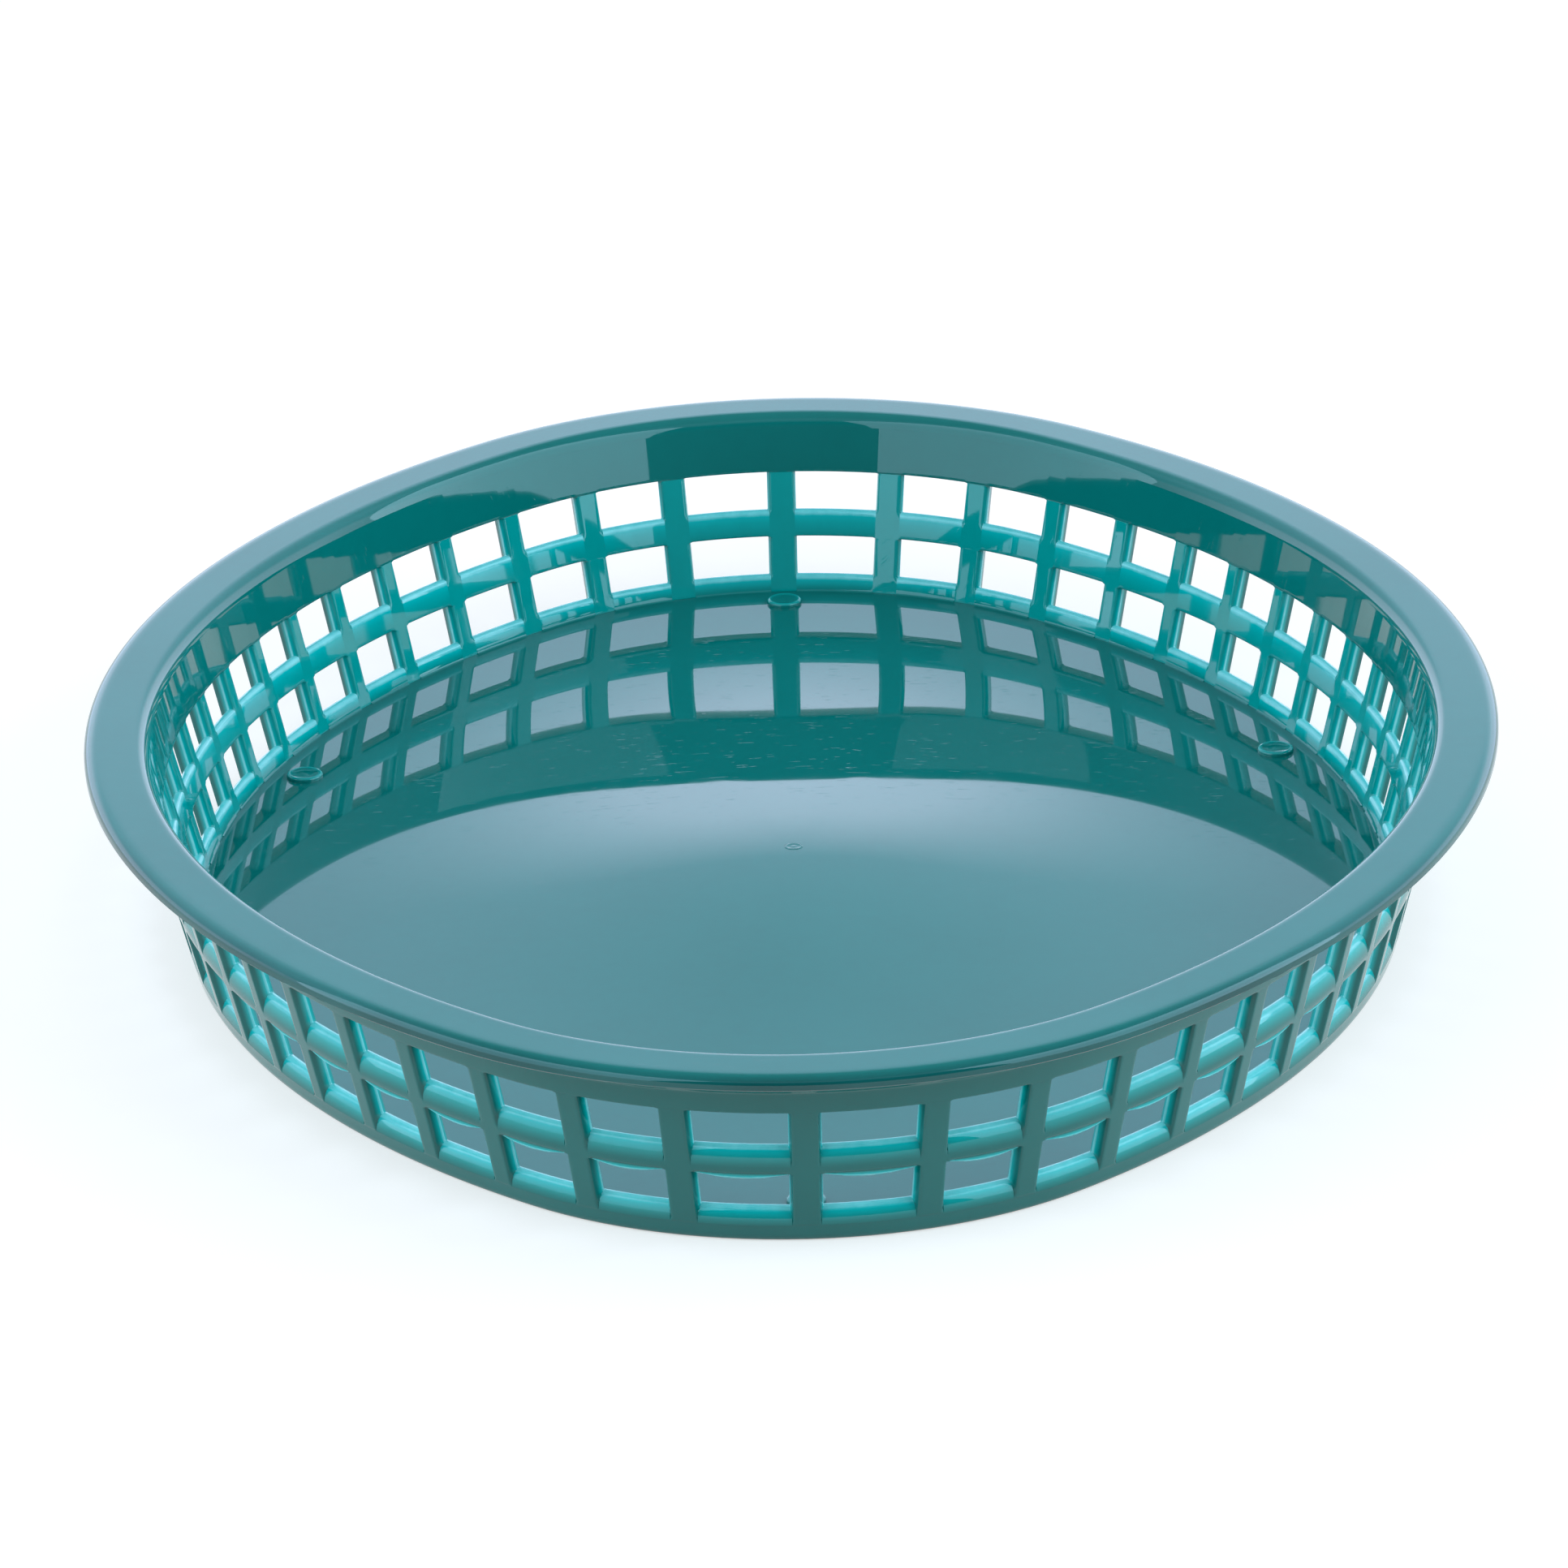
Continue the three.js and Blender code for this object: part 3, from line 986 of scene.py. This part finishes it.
def half_section(height):
    """One side of the rib as (depth, lateral) points, from mid outer face to mid inner face.

    lateral is counted from the widest flank; None marks the points that stay in the middle.
    """
    outer = rib_edge * edge_share(height, flush_zones)
    inner = rib_inner_edge * edge_share(height, inner_flush_zones)
    deep = wall_thickness
    points = [(deep, None), (deep, -outer - outer_inset), (deep, -outer)]
    points += [(deep - outer * half_turned, -outer * half_turned), (deep - outer, 0.0)]
    points += [(depth, 0.0) for depth, _ in reversed(painted_flank_shades[1:])] + [(inner, 0.0)]
    for turn in (math.radians(30), math.radians(60)):
        points.append((inner * (1 - math.sin(turn)), -inner * (1 - math.cos(turn))))
    return points + [(0.0, -inner), (0.0, -inner - inner_inset), (0.0, None)]


def rib_draft_at(depth):
    """How far the flanks have swollen on the way from either face of the wall to the ridge."""
    if depth > rib_widest_depth:
        return rib_draft * (wall_thickness - depth) / (wall_thickness - rib_widest_depth)
    return rib_draft * depth / rib_widest_depth


def painted_rib_light(depth, height):
    """Solid outside; painted light on the inner face and a painted highlight along the flanks'
    ridge.
    """
    if depth > solid_depth:
        return solid_mark
    free = edge_share(height, inner_flush_zones)
    return painted_inner_glow + (height_over(painted_flank_shades, depth) - painted_inner_glow) * free


print("points of a section:", 2 * len(half_section(sill_top)) - 2)


# %% The master rib
buried_by = 0.3


def make_master_rib():
    """Sections from below the floor's top into the band; the first and the last lie hidden."""
    bm = bmesh.new()
    side_layer = bm.verts.layers.float.new("side")
    painted_light_layer = bm.verts.layers.float.new("painted_light_and_shade")
    loops = []
    rows = rib_rows()
    for height in rows:
        buried = buried_by if height in (rows[0], rows[-1]) else 0.0
        half = half_section(height)
        outline = [(point, 1.0) for point in half] + [(point, -1.0) for point in half[-2:0:-1]]
        loop = []
        for (depth, lateral), side in outline:
            if lateral is None:
                lateral, side = 0.0, 0.0
            depth_in = min(max(depth, buried), wall_thickness - buried)
            wide = side * (lateral + rib_draft_at(depth) + flare(height, depth_in) - buried)
            vert = bm.verts.new((wide * MM, (wall_inside(height) + depth_in) * MM, height * MM))
            vert[side_layer] = side
            vert[painted_light_layer] = painted_rib_light(depth, height)
            loop.append(vert)
        loops.append(loop)
    for low, high in zip(loops, loops[1:]):
        join_rows(bm, low, high)
    bm.faces.new(loops[0][::-1])
    bm.faces.new(loops[-1])
    return link_mesh("master_rib", bm)


master_rib = make_master_rib()
print("faces of the master rib:", len(master_rib.data.polygons))


# %% A point for each rib
def make_rib_places():
    """One loose point for each rib, which carries the rib's place, radius and half width."""
    mesh = bpy.data.meshes.new("rib_places")
    mesh.from_pydata([(place * MM, 0.0, 0.0) for place, _, _ in ribs], [], [])
    for name, values in zip(("place", "radius", "half_width"), zip(*ribs)):
        layer = mesh.attributes.new(name, "FLOAT", "POINT")
        layer.data.foreach_set("value", [value * MM for value in values])
    return link_object("rib_places", mesh)


rib_places = make_rib_places()
print("points for the ribs:", len(rib_places.data.vertices))


# %% The tree that sets out the ribs
def read_attribute(tree, name):
    kind = {"data_type": "FLOAT"}
    return add_node(tree, "GeometryNodeInputNamedAttribute", kind, Name=name).outputs[0]


def make_rib_tree():
    """Copies the master to the points, spreads its sides apart and bends the whole row."""
    sockets = [("Rib", "NodeSocketObject"), *common_sockets]
    tree, given, result = start_tree("ribs_round_oval", sockets)
    master = add_node(tree, "GeometryNodeObjectInfo", Object=given.outputs["Rib"])
    copies = add_node(
        tree,
        "GeometryNodeInstanceOnPoints",
        Points=given.outputs["Geometry"],
        Instance=master.outputs["Geometry"],
    )
    real = add_node(tree, "GeometryNodeRealizeInstances", Geometry=copies.outputs[0])
    position = add_node(tree, "GeometryNodeInputPosition")
    parts = add_node(tree, "ShaderNodeSeparateXYZ", Vector=position.outputs[0]).outputs
    place, half = read_attribute(tree, "place"), read_attribute(tree, "half_width")
    spread = calculate(tree, "MULTIPLY", read_attribute(tree, "side"), half)
    lateral = calculate(tree, "ADD", calculate(tree, "SUBTRACT", parts["X"], place), spread)
    turn = calculate(tree, "DIVIDE", parts["Y"], read_attribute(tree, "radius"))
    tightened = calculate(tree, "DIVIDE", lateral, calculate(tree, "ADD", turn, 1.0))
    along = calculate(tree, "ADD", place, tightened)
    flat = add_node(tree, "ShaderNodeCombineXYZ", X=along, Y=parts["Y"], Z=parts["Z"])
    widened = add_node(
        tree, "GeometryNodeSetPosition", Geometry=real.outputs[0], Position=flat.outputs[0]
    )
    finish_tree(tree, widened.outputs[0], given, result)
    return tree


rib_piece = run_tree(rib_places, make_rib_tree(), "ribs_moulded", Rib=master_rib)
face_outwards(rib_piece)
bpy.data.objects.remove(master_rib)

# %% [markdown]
# ## Pads and the gate mark
#
# Six low round pads stand on the floor near the wall, and a small ring in its middle shows where
# the plastic came into the mould. Both are turned shapes: a short outline, spun round.

# %% Turned shapes on the floor
pad_inset, side_pad_bearing = 4.3, math.radians(57.6)


def turned(bm, layer, centre, outline, sides=32):
    """Spins (radius, height, mark) points, from the outside bottom to the middle of the top."""
    rings = []
    for radius, height, mark in outline:
        ring = []
        for side in range(sides if radius else 1):
            turn = 2 * math.pi * side / sides
            spot = centre + Vector((radius * math.cos(turn), radius * math.sin(turn), height))
            ring.append(bm.verts.new(spot * MM))
            ring[-1][layer] = mark
        rings.append(ring)
    for low, high in zip(rings, rings[1:]):
        join_rows(bm, low, high)
    bm.faces.new(rings[0][::-1])


def make_turned(name, centres, outline):
    bm = bmesh.new()
    layer = bm.verts.layers.float.new("painted_light_and_shade")
    for centre in centres:
        turned(bm, layer, centre, outline)
    piece = link_mesh(name, bm)
    piece.data.materials.append(plastic)
    piece.data.shade_smooth()
    face_outwards(piece)
    return piece


to_side = angle_at_bearing(side_pad_bearing, -pad_inset)
pad_angles = [0.0, to_side, math.pi - to_side, math.pi, math.pi + to_side, -to_side]
pad_centres = [oval_point(angle, -pad_inset) + Vector((0, 0, floor_top)) for angle in pad_angles]
# The third number is the painted light: a painted pale highlight round the top edge of each pad.
pad_outline = [(3.2, -0.3, solid_mark), (3.2, 0.4, 0.15), (3.12, 0.64, 0.4), (2.9, 0.8, 0.5)]
pad_outline += [(2.6, 0.8, 0.4), (2.25, 0.7, 0.2), (1.2, 0.64, 0.15), (0.0, 0.62, 0.15)]
floor_pads = make_turned("floor_pads_moulded", pad_centres, pad_outline)

# %% The gate mark
gate_shift = 2.6
gate_height = floor_top + crown_lift(gate_shift / (half_length - inner_reach))
gate_shape = [(1.6, -0.3), (1.6, 0.0), (1.45, 0.06), (1.2, 0.06), (1.0, 0.0)]
gate_shape += [(0.4, 0.02), (0.0, 0.08)]
gate_outline = [(radius, height, solid_mark) for radius, height in gate_shape]
gate_mark = make_turned("gate_mark", [Vector((0.0, gate_shift, gate_height))], gate_outline)

# %% [markdown]
# ## Which piece stands for which node
#
# Every new piece rides on the basket's one body, takes its finish from the slot of the tinted
# plastic and stands for the CAD nodes that it covers. The pads and the gate mark belong to the
# floor, whose node the floor plate already stands for, so they replace nothing of their own.

# %% Riding and replacing
stands_for = {
    floor_plate: ["base_plate"],
    bottom_hoop: ["bottom_hoop"],
    middle_hoop: ["middle_hoop"],
    top_band: ["top_band"],
    rim_flange: ["rim_flange"],
    rib_piece: [f"rib_{number:02d}" for number in range(1, len(ribs) + 1)],
    floor_pads: [],
    gate_mark: [],
}
for piece, nodes in stands_for.items():
    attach(piece, "root")
    if nodes:
        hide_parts(*nodes)
bpy.data.objects.remove(oval_path)
print("pieces:", sorted(piece.name for piece in stands_for))


# %% [markdown]
# ## Ground and light
#
# The photograph has a plain white ground and a bright, slightly blue light from above and behind,
# which the floor and rim of the basket mirror. The walls that face the camera look into a darker
# room and keep the deep colour of the plastic, with the soft shapes of two lamps beside the
# camera. So the room is a gradient, bright behind and above, and dark in front.

# %% White ground
ground_glow, ground_size = 0.55, 8.0
ground_colour = (0.62, 0.50, 0.45, 1.0)


def make_ground():
    """A matt plane; its glow is seen by the camera and in reflections but lights nothing."""
    bm = bmesh.new()
    bmesh.ops.create_grid(bm, x_segments=1, y_segments=1, size=ground_size)
    ground = link_mesh("ground", bm)
    material, tree, shader = start_material(
        "white_ground",
        Base_Color=ground_colour,
        Roughness=0.9,
        Specular_IOR_Level=0.0,
        Emission_Color=(1.0, 1.0, 1.0, 1.0),
    )
    seen = add_node(tree, "ShaderNodeLightPath").outputs
    watched = calculate(tree, "MAXIMUM", seen["Is Camera Ray"], seen["Is Glossy Ray"])
    watched = calculate(tree, "MAXIMUM", watched, seen["Is Transmission Ray"])
    glow = calculate(tree, "MULTIPLY", watched, ground_glow)
    tree.links.new(glow, shader.inputs["Emission Strength"])
    ground.data.materials.append(material)
    return ground


print("ground in m:", [round(value, 1) for value in make_ground().dimensions])


# %% The room
room_stops = [
    (0.0, (0.69, 0.77, 0.99)),
    (0.28, (0.67, 0.75, 0.96)),
    (0.38, (0.345, 0.48, 0.625)),
    (0.62, (0.335, 0.47, 0.615)),
    (0.80, (0.14, 0.17, 0.20)),
]
dark_level, bright_level = 0.18, 2.6
behind_span, above_span = (-0.15, 0.35), (0.5, 0.75)


def make_room():
    world = bpy.data.worlds.new("room")
    bpy.context.scene.world = world
    world.use_nodes = True
    tree = world.node_tree
    room = tree.nodes["Background"]
    direction = add_node(tree, "ShaderNodeTexCoord").outputs["Generated"]
    parts = add_node(tree, "ShaderNodeSeparateXYZ", Vector=direction).outputs
    tree.links.new(ramp(tree, parts["Z"], room_stops), room.inputs["Color"])
    behind = remap(tree, parts["Y"], *behind_span, 0.0, 1.0)
    above = remap(tree, parts["Z"], *above_span, 0.0, 1.0)
    share = calculate(tree, "MAXIMUM", behind, above)
    level = remap(tree, share, 0.0, 1.0, dark_level, bright_level)
    tree.links.new(level, room.inputs["Strength"])


make_room()
print("nodes in the room:", len(bpy.context.scene.world.node_tree.nodes))

# %% Lamps beside the camera
lamp_colour, lamp_distance = (0.60, 0.92, 1.12), 1.6


def add_lamp(name, turn, rise, size, strength):
    """A soft rectangular lamp that faces the basket; turn is counted from -Y towards +X."""
    turn, rise = math.radians(turn), math.radians(rise)
    level = math.cos(rise)
    away = Vector((math.sin(turn) * level, -math.cos(turn) * level, math.sin(rise)))
    lamp = bpy.data.lights.new(name, "AREA")
    lamp.shape = "RECTANGLE"
    lamp.size, lamp.size_y = size
    lamp.energy, lamp.color = strength, lamp_colour
    holder = link_object(name, lamp)
    holder.location = away * lamp_distance
    holder.rotation_euler = away.to_track_quat("Z", "Y").to_euler()
    holder.visible_camera = False


add_lamp("right_lamp", 72.5, 24.0, (2.0, 1.4), 29.0)
add_lamp("left_lamp", -63.0, 24.0, (2.2, 1.4), 25.0)
bpy.context.scene.view_settings.view_transform = "Standard"
print("lamps:", [lamp.name for lamp in bpy.data.lights])
